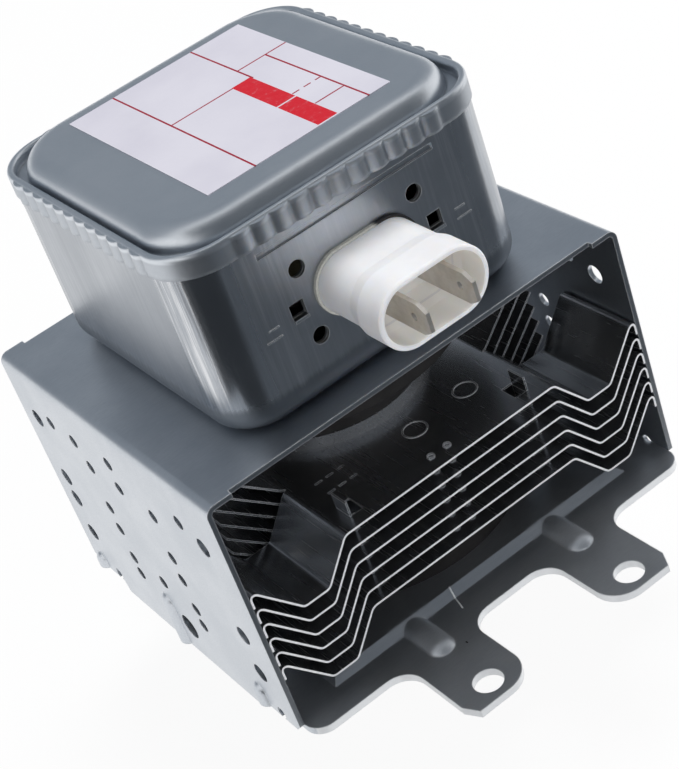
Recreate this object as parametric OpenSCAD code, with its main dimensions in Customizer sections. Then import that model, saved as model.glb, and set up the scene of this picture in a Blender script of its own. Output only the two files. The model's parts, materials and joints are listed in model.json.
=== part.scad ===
// Magnetron of the kind used in cooking ovens: a vacuum tube between two ring magnets in a steel yoke,
// cooled by bent fins, with a filter box on top and a four-ear base plate below.
// Origin on the antenna axis at the mounting plane, +Z towards the filter box, -Y towards the connector.

/* [Yoke] */
// Outer width across the side walls
yoke_w = 95; // [92:0.5:100]
// Depth from the front edge to the back edge
yoke_d = 82; // [79:0.5:86]
// Height of the outer top face above the mounting plane
yoke_h = 55; // [54:0.1:58]
// Thickness of the sheet
yoke_t = 1; // [0.8:0.1:1.4]
// Outer radius of the two bends
yoke_bend_r = 2; // [1.6:0.1:3.5]
// Depth of the step in the top's front and back edges
yoke_relief = 1.2; // [0.5:0.1:2]
// Distance of that step from the side walls
yoke_relief_edge = 5.8; // [4:0.1:10]
// Length of the middle tab on each side wall's lower edge
wall_tab_l = 55; // [50:1:60]
// Drop of that tab below the mounting plane
wall_tab_drop = 2.8; // [1:0.1:4]
// Radius of the small holes in the side walls
wall_hole_r = 1.5; // [1:0.1:1.8]
// Radius of the larger holes near the walls' front and back edges
wall_edge_hole_r = 2; // [1.4:0.1:2.4]
// Radius of the hole above the middle tab
wall_tab_hole_r = 2.8; // [2:0.1:3.2]
// How far the pressed-out bumps stand off the walls
wall_bump = 1.1; // [0.6:0.1:1.3]

/* [Base plate] */
// Thickness of the plate
plate_t = 1.6; // [1.2:0.1:2]
// Height of the raised middle
plate_rise = 1.6; // [1:0.1:2]
// Width of the raised middle at its foot
plate_raised_w = 74; // [68:0.5:80]
// Depth of the raised middle at its foot
plate_raised_d = 76.2; // [70:0.2:78]
// Horizontal run of the raised middle's slopes
plate_slope = 1.6; // [1:0.1:2.5]
// How far the plate stands out past the yoke at front and back
plate_lip = 4.2; // [3:0.1:5]
// Hole-to-hole distance across the two ears of one side
ear_pitch = 35.1; // [33:0.1:38]
// Hole-to-hole distance from the front ears to the back ears
ear_span = 121.4; // [119:0.2:126]
// Radius of the ear holes
ear_hole_r = 3; // [2:0.1:3.5]
// Width of one ear
ear_w = 14.8; // [14:0.1:17]
// Distance from the hole's centre to the end of the ear
ear_end = 4.8; // [4.5:0.1:6.5]
// Radius of the concave corners at the ears' roots
ear_root_r = 5; // [3:0.1:5]
// Radius of the stiffening beads that run onto the ears
bead_r = 3.6; // [3:0.1:4]
// Height of the beads above the plate
bead_rise = 1.4; // [0.8:0.1:1.5]

/* [Magnets] */
// Outer diameter
magnet_od = 64; // [58:0.5:66]
// Inner diameter
magnet_id = 22; // [22:0.1:24]
// Thickness of each ring
magnet_t = 8.4; // [7.4:0.1:9]

/* [Anode] */
// Outer diameter of the copper shell
shell_od = 40; // [38:0.1:44]
// Wall of the shell
shell_t = 2.6; // [2:0.1:3.5]
// Number of vanes
vane_count = 10; // [8:2:12]
// Thickness of a vane
vane_t = 1.9; // [1.5:0.1:2.2]
// Height of a vane
vane_h = 9.6; // [8:0.1:11]
// Radius of the circle that the vane tips stand on
vane_tip_r = 4.5; // [4.3:0.1:5]
// Radius of the middle of the inner straps
strap_r = 7.2; // [7:0.1:8]
// Radial step from the inner straps to the outer straps
strap_step = 2; // [1.8:0.1:2.4]
// Width of a strap
strap_w = 1.2; // [1:0.1:1.4]
// Thickness of a strap
strap_t = 1; // [0.8:0.1:1.2]
// Thickness of the pole pieces
pole_t = 1.2; // [1:0.1:1.5]
// Height of the pole pieces' cones
pole_cone_h = 7; // [5:0.1:7.5]
// Radius of the hole in the pole pieces
pole_hole_r = 4.8; // [4.6:0.1:5]

/* [Cathode] */
// Radius of the filament's turns, at the middle of the wire
filament_r = 2; // [1.8:0.1:2.4]
// Diameter of the filament wire
filament_wire = 0.6; // [0.5:0.1:0.8]
// Number of turns
filament_turns = 7; // [5:1:8]
// Radius of the end shields
shield_r = 3.8; // [3.5:0.1:4]
// Thickness of the end shields
shield_t = 1; // [0.8:0.1:1.4]
// Radius of the leads
lead_r = 0.8; // [0.6:0.05:0.9]
// Distance between the leads where they pass the stem
lead_pitch = 8.4; // [8:0.1:9]

/* [Seals and antenna] */
// Outer radius of the metal sleeves
sleeve_r = 10.2; // [9.8:0.1:10.4]
// Wall of the sleeves
sleeve_t = 0.8; // [0.6:0.1:1]
// Height of the cathode sleeve above the filter box floor
cathode_sleeve_rise = 3; // [2.5:0.1:4]
// Height of the stem insulator
stem_h = 5; // [4:0.1:5.5]
// Length of the leads above the stem insulator
lead_free = 5; // [4.5:0.1:6]
// How far the antenna sleeve stands below the mounting plane
antenna_sleeve_drop = 5; // [4:0.1:7]
// Outer radius of the antenna insulator
antenna_ceramic_r = 8.6; // [8:0.1:9]
// Wall of the antenna insulator
antenna_ceramic_t = 2.2; // [1.8:0.1:2.6]
// Length of the antenna insulator
antenna_ceramic_l = 10; // [8:0.1:13]
// Outer radius of the antenna cap
antenna_cap_r = 9.4; // [9.3:0.1:10]
// Length of the antenna cap
antenna_cap_l = 15; // [14:0.1:18]
// Thickness of the antenna cap
antenna_cap_t = 0.5; // [0.4:0.05:0.7]
// Radius of the exhaust tube
exhaust_r = 3.4; // [3:0.1:4]
// Length of the exhaust tube below its flange
exhaust_l = 11; // [9:0.1:12]
// Radius of the antenna rod
antenna_rod_r = 1.2; // [1:0.1:1.3]
// Radius of the gasket's round section
gasket_r = 2; // [1.6:0.1:2.4]
// Radius of the gasket's ring, at the middle of its section
gasket_ring_r = 13.2; // [13:0.1:15]

/* [Cooling fins] */
// Number of fins is fixed by the node list; distance from one fin to the next
fin_pitch = 3.57; // [3.4:0.01:3.8]
// Thickness of a fin
fin_t = 0.4; // [0.3:0.05:0.7]
// Height of the collars that grip the anode
fin_collar_h = 3; // [1.8:0.1:3.1]
// Half width of the flat middle
fin_flat = 25.1; // [24.5:0.1:26]
// Where the outer wings reach their lowest point
fin_dip_in = 31.6; // [31:0.1:33]
// Where the outer wings turn up again
fin_dip_out = 37.5; // [36.5:0.1:38.5]
// Depth of the dip below the flat middle
fin_dip = 8; // [6:0.1:9]
// Height of the wing's top above the flat middle
fin_crest = 1; // [0.4:0.1:1.4]
// Length of the flange that lies on the wall
fin_flange = 2.4; // [1.5:0.1:2.7]
// Depth of the front and back wings
fin_wing_d = 20.8; // [18:0.2:22]
// Where the raised middle wings end
fin_raise_x = 39; // [36:0.5:41]
// Height of the raised middle wings' ends above the flat middle
fin_raise_h = 12.6; // [9:0.1:13.5]
// Width of the slits between the wings
fin_slit = 0.5; // [0.3:0.1:1]
// Distance of the spacer legs' windows from the middle
fin_leg_x = 19.9; // [19:0.1:21]
// Width of the window that a spacer leg is bent up from
fin_leg_w = 2.6; // [2:0.1:3]
// Distance of the spacer legs from the fin's front and back edges
fin_leg_edge = 3.3; // [2:0.1:4]

/* [Filter box] */
// Outer width
box_w = 67.8; // [66:0.2:70]
// Outer depth
box_d = 69.7; // [68:0.1:72]
// Height up to the edge under the lid
box_h = 38.75; // [37:0.05:41]
// Thickness of the sheet
box_t = 0.6; // [0.5:0.05:0.8]
// Outer radius of the upright corners
box_corner_r = 10; // [8.5:0.1:11]
// Outer radius of the bottom edge
box_bottom_r = 5; // [4:0.1:6]
// Height of the connector's axis above the floor's outer face
conn_z = 19.6; // [19.2:0.1:21]
// Radius of the four round holes beside the connector
box_hole_r = 1.7; // [1.2:0.1:2]
// Distance of those holes from the middle
box_hole_x = 12.95; // [12.5:0.05:14]
// Height of those holes above and below the connector's axis
box_hole_z = 7.05; // [6.8:0.05:8]
// Distance of the square windows from the middle
box_window_x = 15.4; // [15:0.1:16.5]
// Side of the square windows
box_window = 3; // [2:0.1:3.4]

/* [Filter lid] */
// Thickness of the sheet
lid_t = 0.4; // [0.3:0.05:0.5]
// Play between the lid's rim and the box's edge
lid_play = 0.05; // [0.03:0.01:0.1]
// Height of the skirt, from the rim's top
skirt_h = 4.6; // [4:0.1:5.4]
// Distance from one flute of the skirt to the next
flute_pitch = 4.1; // [3.6:0.1:4.4]
// How far the flutes stand off the skirt
flute_out = 0.6; // [0.3:0.05:0.7]
// Width of the slits in the skirt's corners
skirt_slit = 0.8; // [0.4:0.05:1.2]
// Height of the raised top above the rim
lid_rise = 2.5; // [2.1:0.1:4]
// Depth of the groove below the rim
lid_groove = 2.2; // [1.8:0.1:3]
// Radius of the raised top's edge
lid_edge_r = 4.2; // [3:0.1:4.5]
// Radius of the raised top's corners
lid_corner_r = 13; // [10:0.1:15]
// Width of the groove between the raised top and the rim
lid_groove_w = 0.7; // [0.4:0.1:1.5]
// Width of the label
label_w = 40; // [30:0.5:44]
// Length of the label
label_l = 51.6; // [40:0.2:52]
// Offset of the label from the middle
label_pos = [1, 1.2];
// Thickness of the label
label_t = 0.12; // [0.08:0.01:0.2]

/* [Connector] */
// Distance between the centres of the oval's round ends
oval_c = 10; // [9.6:0.1:10.6]
// Radius of the neck
neck_r = 6; // [5.8:0.1:6.2]
// Length of the neck
neck_l = 10.4; // [9:0.1:12]
// Radius of the mouth
mouth_r = 6.65; // [6.5:0.05:7]
// Length from the box to the mouth's lip
mouth_l = 20; // [18:0.1:22]
// Wall of the mouth
mouth_t = 1; // [0.8:0.1:1.2]
// Depth of the socket
socket_l = 13; // [11:0.1:15]
// Width of the flange at the neck's root
root_flange = 0.5; // [0.3:0.1:0.9]
// Thickness of the flange at the neck's root
root_flange_t = 0.7; // [0.5:0.1:1.2]
// Distance between the two tabs
tab_pitch = 10; // [9.6:0.1:10.6]
// Width of a tab
tab_w = 6.3; // [4.8:0.1:6.4]
// Thickness of a tab
tab_t = 0.8; // [0.5:0.1:1]
// How far the tabs stand out of the mouth
tab_out = 5; // [3:0.1:6]
// Length of the tabs behind the capacitor block
tab_tail = 5; // [4:0.1:6]
// Bevel at the tabs' ends
tab_bevel = 1.2; // [0.8:0.1:1.6]
// Thickness of the ground plate
ground_t = 0.8; // [0.6:0.1:1]
// Radius of the capacitor block's round ends
cap_r = 7.2; // [6.4:0.1:7.6]
// Depth of the capacitor block
cap_l = 10; // [8:0.1:12]

/* [Chokes] */
// Distance between the axes of the two coils
choke_pitch = 34; // [32:0.5:40]
// Radius of the coils, at the middle of the wire
choke_r = 4.2; // [4:0.1:4.6]
// Diameter of the wire
choke_wire = 1.4; // [1:0.1:1.5]
// Whole turns of each coil; half a turn is added
choke_turns = 7; // [5:1:7]
// Length of the ferrite cores
core_l = 28; // [24:0.5:30]

/* [Hidden] */
$fn = 64;
// Facets of small round shapes
fn_small = 32;
// Overlap for cuts that pass through a face
cut = 1;
// Swelling of bent bars at their bends
bend_bulge = 0.12;
// Press-fit gap between nested round pieces
fit_gap = 0.02;
// Gap between pieces that lie side by side
side_gap = 0.05;
// Clearance of the holes that the sleeves pass through
sleeve_play = 0.5;
// Clearance round the leads, tabs and the antenna rod where they pass a piece
pass_play = 0.1;

// Heights of the main stack
plate_top = plate_t + plate_rise;
lower_magnet_z = plate_top;
lower_pole_z = lower_magnet_z + magnet_t;
shell_z0 = lower_pole_z + pole_t;
yoke_in_z = yoke_h - yoke_t;
upper_magnet_z = yoke_in_z - magnet_t;
shell_z1 = upper_magnet_z - pole_t;
tube_mid_z = (shell_z0 + shell_z1) / 2;
vane_z0 = tube_mid_z - vane_h / 2;
vane_z1 = tube_mid_z + vane_h / 2;

// Yoke walls
wall_in_x = yoke_w / 2 - yoke_t;
wall_mid_y = 1;
wall_bevel = 1.6;
wall_bump_r = 2.4;
sleeve_hole_r = sleeve_r + sleeve_play;

// Rows of holes in the side walls: offset along the wall from the pattern's middle, distance below the top face
wall_pairs = [[12.5, 16.3], [12.5, 26.8], [12.5, 32.5], [12.5, 40.3], [12.5, 44.6], [25.6, 11]];
wall_singles = [[0.3, 9.6], [0.4, 15.8], [0.3, 40.3], [15.8, 11.2]];
wall_edge_pairs = [[33.1, 13.1], [33.3, 34.8], [33.5, 44.4]];
wall_edge_singles = [[33.2, 28.9]];
wall_tab_hole = [-3.5, 50.3];
// Half holes and pressed bumps at the walls' lower edge, along the wall, and the bumps' heights above the edge
wall_foot_holes = [-34.5, 29.7];
wall_foot_hole_r = 1.3;
wall_foot_hole_z = 1.2;
wall_bumps = [[-28, 3.4], [4, 8.2], [37, 1.6]];

// Base plate
plate_w = 2 * (wall_in_x - side_gap);
plate_d = yoke_d + 2 * plate_lip;
plate_corner_r = 4;
ear_end_r = 6;
ear_bevel = 3.4;
bead_y = plate_d / 2 + 0.8;

// Sleeves
sleeve_lip_r = magnet_id / 2 - side_gap;
sleeve_lip_t = 0.8;
sleeve_in_lip = 2;
box_floor_z = yoke_h + box_t;
stem_z = box_floor_z + cathode_sleeve_rise;
lead_top_z = stem_z + stem_h + lead_free;
bend_low_z = upper_magnet_z + 0.4 * magnet_t;
bend_high_z = stem_z - 2;
antenna_hole_x = 6.8;
antenna_z1 = -antenna_sleeve_drop - antenna_ceramic_l;
antenna_flange_t = 1;
antenna_bend_drop = 3;
antenna_bend_z = lower_pole_z - antenna_bend_drop;
pinch_l = 4;
pinch_t = 2.2;

// Cathode
shield_gap = 0.4;
side_lead_x = -2.6;

// Fins
fin_gap_z = 1.8;
fin_z0 = shell_z0 + fin_gap_z;
fin_hole_r = shell_od / 2 + fit_gap;
fin_wall_x = wall_in_x - side_gap;
fin_hook_run = 0.9;
fin_bend = 0.8;
fin_bend_steps = 4;
fin_mid_d = yoke_d - 2 * fin_wing_d;
fin_window_l = 4.6;
fin_hole_x = 1.95;
fin_hole_edge = 3.9;
fin_small_r = 0.5;
fin_small_lip = 0.3;
fin_disc_r = 2.6;
fin_disc_t = 0.12;
fin_disc_w = 0.3;
fin_discs = [[1.3, 13.2], [14.7, 14.4]];
fin_slots = [[-19.4, 12.4], [-16.8, 12.4], [-14.2, 12.4], [-19.4, 16.8], [-16.8, 16.8], [-14.2, 16.8]];
fin_slot = [1.6, 0.5];

// Filter box and lid
box_top_z = yoke_h + box_h;
box_front_y = -box_d / 2;
conn_axis_z = yoke_h + conn_z;
rim_r = (box_t + 2 * lid_play + 2 * lid_t) / 2;
rim_mid_u = box_corner_r - box_t / 2;
rim_top_z = box_top_z + rim_r;
skirt_z = rim_top_z - skirt_h;
flute_top_z = box_top_z + rim_r / 2;
skirt_out_u = rim_mid_u + rim_r;
groove_z = rim_top_z - lid_groove;
lid_top_z = rim_top_z + lid_rise;
lid_inset = box_t / 2 + rim_r + lid_groove_w;
lid_w = box_w - 2 * lid_inset;
lid_d = box_d - 2 * lid_inset;
slit_angles = [2, 45, 88];
flute_gap = 0.15;
bead_slot = [38.4, 1.2, 0.4];
bead_slot_z = box_top_z - 6;
mark_x = 19.8;
mark_lengths = [2.2, 3.2];
mark_pitch = 2;
mark_w = 0.3;
mark_drop = 0.6;
mark_out = 0.2;

// Connector, from the box's front face outwards
shoulder_l = 3;
lip_r = 0.35;
slot_in = 0.6;
hook_out = 0.6;
tab_y0 = box_front_y - mouth_l - tab_out;
ground_y = box_front_y + box_t;
cap_y = ground_y + ground_t;
tab_y1 = cap_y + cap_l + tab_tail;
ground_w = 2 * (box_window_x + box_window);
ground_edge = 3.5;
ground_h = 2 * (box_hole_z + ground_edge);
tab_hole_r = 0.8;
tab_hole_y = 4;

// Chokes
choke_z = conn_axis_z - choke_r;
choke_y0 = tab_y1 - choke_wire;
choke_y1 = 0;
core_r = choke_r - choke_wire / 2 - 0.3;
wire_steps = 14;
wire_sides = 8;
filament_z0 = vane_z0 - 0.2;
filament_z1 = vane_z1 + 0.2;

// Outline of a bent sheet: a path of points and the same path offset to its left by the thickness
function unit(v) = v / norm(v);
function normal(path, i) = let (d = unit(path[i + 1] - path[i])) [-d[1], d[0]];
function miter(path, i) =
    let (before = normal(path, max(i - 1, 0)), after = normal(path, min(i, len(path) - 2)))
    (before + after) / (1 + before * after);
function sheet(path, t) =
    concat(path, [for (i = [len(path) - 1 : -1 : 0]) path[i] + t * miter(path, i)]);

// The same path with its corners rounded off over a length s
function round_corner(a, p, b) =
    [for (k = [0 : fin_bend_steps])
        let (t = k / fin_bend_steps)
        (1 - t) * (1 - t) * a + 2 * t * (1 - t) * p + t * t * b];
function towards(p, q, s) = p + min(s, 0.45 * norm(q - p)) * unit(q - p);
function soften(path, s) =
    concat(
        [path[0]],
        [for (i = [1 : len(path) - 2])
            each round_corner(towards(path[i], path[i - 1], s), path[i], towards(path[i], path[i + 1], s))],
        [path[len(path) - 1]]
    );

// Round wire along a path, as rings of points joined by faces; side is never along the path
function wire_ring(path, i, r, side) =
    let (
        a = path[max(i - 1, 0)],
        b = path[min(i + 1, len(path) - 1)],
        n = unit(cross(unit(b - a), side)),
        m = cross(n, unit(b - a))
    )
    [for (k = [0 : wire_sides - 1])
        path[i] + r * (cos(360 * k / wire_sides) * n + sin(360 * k / wire_sides) * m)];
module wire(path, r, side) {
    rings = len(path);
    last = (rings - 1) * wire_sides;
    points = [for (i = [0 : rings - 1]) each wire_ring(path, i, r, side)];
    walls = [for (i = [0 : rings - 2], k = [0 : wire_sides - 1])
        let (next = (k + 1) % wire_sides)
        [i * wire_sides + k, i * wire_sides + next, (i + 1) * wire_sides + next, (i + 1) * wire_sides + k]];
    ends = [
        [for (k = [wire_sides - 1 : -1 : 0]) k],
        [for (k = [0 : wire_sides - 1]) last + k]
    ];
    polyhedron(points, concat(walls, ends));
}

// Straight round bar from one point to another
module bar(p, q, r) {
    d = q - p;
    translate(p)
        rotate([0, acos(d[2] / norm(d)), atan2(d[1], d[0])])
            cylinder(h = norm(d), r = r, $fn = fn_small);
}

// Bars along a path, with round joints
module bent_bar(path, r) {
    for (i = [0 : len(path) - 2])
        bar(path[i], path[i + 1], r);
    for (i = [1 : len(path) - 2])
        translate(path[i])
            sphere(r = r + bend_bulge, $fn = fn_small);
}

// Plane shapes
module round_rect(w, d, r) {
    square([w - 2 * r, d], center = true);
    square([w, d - 2 * r], center = true);
    for (x = [-1, 1], y = [-1, 1])
        translate([x * (w / 2 - r), y * (d / 2 - r)])
            circle(r = r);
}
module oval(r) {
    square([oval_c, 2 * r], center = true);
    for (x = [-1, 1])
        translate([x * oval_c / 2, 0])
            circle(r = r);
}
module round_top(w, h, r) {
    translate([-w / 2, -wall_tab_drop])
        square([w, h - r + wall_tab_drop]);
    translate([r - w / 2, 0])
        square([w - 2 * r, h]);
    for (x = [-1, 1])
        translate([x * (w / 2 - r), h - r])
            circle(r = r);
}
module trapezoid(foot, top, h) {
    polygon([[-foot / 2, 0], [foot / 2, 0], [top / 2, h], [-top / 2, h]]);
}

// Profile carried round a rectangle with round corners; its x is the distance from the corner's centre
module round_rect_sweep(w, d, r) {
    for (q = [0 : 3]) {
        half_x = (q % 2 == 0 ? w : d) / 2 - r;
        half_y = (q % 2 == 0 ? d : w) / 2 - r;
        rotate(90 * q)
            translate([half_x, half_y, 0]) {
                rotate_extrude(angle = 90)
                    children();
                rotate([90, 0, 0])
                    linear_extrude(2 * half_y)
                        children();
            }
    }
}

// Profile carried round the oval; its x is the distance from the end's centre and its y runs along -Y
module oval_sweep() {
    rotate([90, 0, 0])
        for (q = [0, 1])
            rotate(180 * q)
                translate([oval_c / 2, 0, 0]) {
                    rotate(-90)
                        rotate_extrude(angle = 180)
                            children();
                    rotate([90, 0, -90])
                        linear_extrude(oval_c)
                            children();
                }
}
module at_connector(y) {
    translate([0, y, conn_axis_z])
        children();
}
module oval_plate(r, t) {
    rotate([90, 0, 0])
        linear_extrude(t)
            oval(r);
}

// Yoke
module wall_hole(at, r) {
    translate([0, wall_mid_y + at[0], yoke_h - at[1]])
        rotate([0, 90, 0])
            cylinder(h = yoke_w + 2 * cut, r = r, center = true, $fn = fn_small);
}
module wall_bump_shape(r, h) {
    translate([0, 0, -wall_tab_drop - cut])
        cylinder(h = h + wall_tab_drop + cut, r = r, $fn = fn_small);
    translate([0, 0, h])
        sphere(r = r, $fn = fn_small);
}
module wall_bump_rows(r) {
    for (x = [-1, 1], b = wall_bumps)
        translate([x * (yoke_w / 2 - wall_bump_r + wall_bump), b[0], 0])
            wall_bump_shape(r, b[1]);
}
module wall_outline() {
    end = yoke_d / 2;
    tab0 = wall_mid_y - wall_tab_l / 2;
    tab1 = wall_mid_y + wall_tab_l / 2;
    polygon([
        [-end, yoke_h + cut], [-end, wall_bevel], [wall_bevel - end, 0],
        [tab0, 0], [tab0 + wall_bevel / 2, -wall_tab_drop], [tab1 - wall_bevel / 2, -wall_tab_drop], [tab1, 0],
        [end - wall_bevel, 0], [end, wall_bevel], [end, yoke_h + cut]
    ]);
}
module top_relief() {
    half = yoke_w / 2 - yoke_relief_edge;
    for (y = [0, 1])
        mirror([0, y, 0])
            translate([-half, yoke_d / 2 - yoke_relief, yoke_in_z - cut])
                cube([2 * half, yoke_relief + cut, yoke_t + 2 * cut]);
}
module yoke_frame() {
    color("slategray")
        difference() {
            intersection() {
                union() {
                    rotate([90, 0, 0])
                        linear_extrude(yoke_d, center = true)
                            difference() {
                                round_top(yoke_w, yoke_h, yoke_bend_r);
                                round_top(yoke_w - 2 * yoke_t, yoke_in_z, yoke_bend_r - yoke_t);
                            }
                    wall_bump_rows(wall_bump_r);
                }
                rotate([90, 0, 90])
                    linear_extrude(2 * yoke_w, center = true)
                        wall_outline();
            }
            wall_bump_rows(wall_bump_r - yoke_t);
            translate([-wall_in_x, -yoke_d, -yoke_d])
                cube([2 * wall_in_x, 2 * yoke_d, yoke_d + yoke_h / 2]);
            for (p = wall_pairs, s = [-1, 1])
                wall_hole([s * p[0], p[1]], wall_hole_r);
            for (p = wall_singles)
                wall_hole(p, wall_hole_r);
            for (p = wall_edge_pairs, s = [-1, 1])
                wall_hole([s * p[0], p[1]], wall_edge_hole_r);
            for (p = wall_edge_singles)
                wall_hole(p, wall_edge_hole_r);
            wall_hole(wall_tab_hole, wall_tab_hole_r);
            for (y = wall_foot_holes)
                wall_hole([y - wall_mid_y, yoke_h - wall_foot_hole_z], wall_foot_hole_r);
            translate([0, 0, yoke_in_z - cut])
                cylinder(h = yoke_t + 2 * cut, r = sleeve_hole_r);
            top_relief();
        }
}

// Base plate
module ear_outline() {
    y0 = plate_d / 2 - cut;
    y1 = ear_span / 2 + ear_end;
    x0 = ear_pitch / 2 - ear_w / 2;
    x1 = ear_pitch / 2 + ear_w / 2;
    root = plate_d / 2 + ear_root_r;
    polygon([
        [x0, y0], [x1, y0], [x1, y1 - ear_bevel], [x1 - ear_bevel / 2, y1],
        [x0 + ear_end_r, y1], [x0, y1 - ear_end_r]
    ]);
    translate([x0 + ear_end_r, y1 - ear_end_r])
        circle(r = ear_end_r);
    difference() {
        translate([x0 - ear_root_r, y0])
            square([ear_w + 2 * ear_root_r, ear_root_r + cut]);
        for (x = [x0 - ear_root_r, x1 + ear_root_r])
            translate([x, root])
                circle(r = ear_root_r);
    }
}
module raised_middle() {
    intersection() {
        rotate([90, 0, 0])
            linear_extrude(plate_d, center = true)
                trapezoid(plate_raised_w, plate_raised_w - 2 * plate_slope, plate_rise);
        rotate([90, 0, 90])
            linear_extrude(plate_w, center = true)
                trapezoid(plate_raised_d, plate_raised_d - 2 * plate_slope, plate_rise);
    }
}
module bead(r, z) {
    y0 = plate_raised_d / 2 - plate_slope - 1;
    translate([0, y0, z])
        rotate([-90, 0, 0])
            cylinder(h = bead_y - y0, r = r, $fn = fn_small);
    translate([0, bead_y, z])
        sphere(r = r, $fn = fn_small);
}
module at_ears() {
    for (x = [0, 1], y = [0, 1])
        mirror([x, 0, 0])
            mirror([0, y, 0])
                children();
}
module base_plate() {
    color("dimgray")
        difference() {
            union() {
                linear_extrude(plate_t) {
                    round_rect(plate_w, plate_d, plate_corner_r);
                    at_ears()
                        ear_outline();
                }
                translate([0, 0, plate_t])
                    raised_middle();
                at_ears()
                    translate([ear_pitch / 2, 0, 0])
                        bead(bead_r, plate_t + bead_rise - bead_r);
            }
            raised_middle();
            at_ears()
                translate([ear_pitch / 2, 0, 0])
                    bead(bead_rise, 0);
            translate([-plate_w, -ear_span, -2 * bead_r])
                cube([2 * plate_w, 2 * ear_span, 2 * bead_r]);
            at_ears()
                translate([ear_pitch / 2, ear_span / 2, -cut])
                    cylinder(h = plate_top + 2 * cut, r = ear_hole_r);
            translate([0, 0, -cut])
                cylinder(h = plate_top + 2 * cut, r = sleeve_hole_r);
        }
}

// Magnets and anode
module magnet() {
    difference() {
        cylinder(h = magnet_t, d = magnet_od);
        translate([0, 0, -cut])
            cylinder(h = magnet_t + 2 * cut, d = magnet_id);
    }
}
module upper_magnet() {
    color("darkslategray")
        translate([0, 0, upper_magnet_z])
            magnet();
}
module lower_magnet() {
    color("darkslategray")
        translate([0, 0, lower_magnet_z])
            magnet();
}
module anode_shell() {
    color("peru")
        translate([0, 0, shell_z0])
            difference() {
                cylinder(h = shell_z1 - shell_z0, d = shell_od);
                translate([0, 0, -cut])
                    cylinder(h = shell_z1 - shell_z0 + 2 * cut, d = shell_od - 2 * shell_t);
            }
}
// Half of the straps touch a vane: even vanes carry the inner ones, odd vanes the outer ones
module strap_ring(r, w, t) {
    rotate_extrude()
        translate([r - w / 2, 0])
            square([w, t]);
}
module strap_grooves(odd) {
    for (k = [0, 1]) {
        play = (k == odd) ? 0 : 0.4;
        depth = strap_t + play;
        translate([0, 0, vane_z1 - depth])
            strap_ring(strap_r + k * strap_step, strap_w + 2 * pass_play, depth + cut);
        translate([0, 0, vane_z0 - cut])
            strap_ring(strap_r + k * strap_step, strap_w + 2 * pass_play, depth + cut);
    }
}
module anode_vanes() {
    outer_r = shell_od / 2 - shell_t - fit_gap;
    color("sandybrown")
        for (i = [0 : vane_count - 1])
            rotate(360 / vane_count * i)
                difference() {
                    intersection() {
                        translate([vane_tip_r, -vane_t / 2, vane_z0])
                            cube([outer_r, vane_t, vane_h]);
                        translate([0, 0, vane_z0 - cut])
                            cylinder(h = vane_h + 2 * cut, r = outer_r);
                    }
                    strap_grooves(i % 2);
                }
}
module strap_rings() {
    color("chocolate")
        for (k = [0, 1], z = [vane_z1 - strap_t, vane_z0])
            translate([0, 0, z])
                strap_ring(strap_r + k * strap_step, strap_w, strap_t);
}
module pole_piece() {
    foot_r = sleeve_r - sleeve_t - 1;
    neck_out = pole_hole_r + pole_t;
    rotate_extrude()
        polygon([
            [shell_od / 2, 0], [shell_od / 2, pole_t], [foot_r, pole_t], [neck_out, pole_cone_h],
            [pole_hole_r, pole_cone_h], [pole_hole_r, pole_cone_h - pole_t], [foot_r - pole_t, 0]
        ]);
}
module lower_pole_piece() {
    color("gray")
        difference() {
            translate([0, 0, lower_pole_z])
                pole_piece();
            translate([antenna_hole_x, 0, lower_pole_z - cut])
                cylinder(h = pole_cone_h + 2 * cut, r = antenna_rod_r + 4 * pass_play, $fn = fn_small);
        }
}
module upper_pole_piece() {
    color("gray")
        translate([0, 0, upper_magnet_z])
            mirror([0, 0, 1])
                pole_piece();
}

// Cathode
function filament_path() =
    let (steps = filament_turns * wire_steps)
    [for (i = [0 : steps])
        let (a = 360 * i / wire_steps)
        [filament_r * cos(a), filament_r * sin(a), filament_z0 + (filament_z1 - filament_z0) * i / steps]];
module filament_coil() {
    color("dimgray")
        wire(filament_path(), filament_wire / 2, [0, 0, 1]);
}
module lower_end_shield() {
    color("silver")
        translate([0, 0, filament_z0 - filament_wire / 2 - shield_gap - shield_t])
            cylinder(h = shield_t, r = shield_r);
}
module upper_end_shield() {
    color("silver")
        translate([0, 0, filament_z1 + filament_wire / 2 + shield_gap])
            difference() {
                cylinder(h = shield_t, r = shield_r);
                translate([0, 0, -cut])
                    cylinder(h = shield_t + 2 * cut, r = lead_r + pass_play, $fn = fn_small);
            }
}
module centre_lead() {
    z0 = filament_z0 - filament_wire / 2 - shield_gap;
    color("gray")
        bent_bar([
            [lead_pitch / 2, 0, lead_top_z], [lead_pitch / 2, 0, bend_high_z], [0, 0, bend_low_z], [0, 0, z0]
        ], lead_r);
}
module side_lead() {
    z0 = filament_z1 + filament_wire / 2 + shield_gap + shield_t;
    color("gray")
        bent_bar([
            [side_lead_x, 0, z0], [side_lead_x, 0, bend_low_z],
            [-lead_pitch / 2, 0, bend_high_z], [-lead_pitch / 2, 0, lead_top_z]
        ], lead_r);
}

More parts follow.
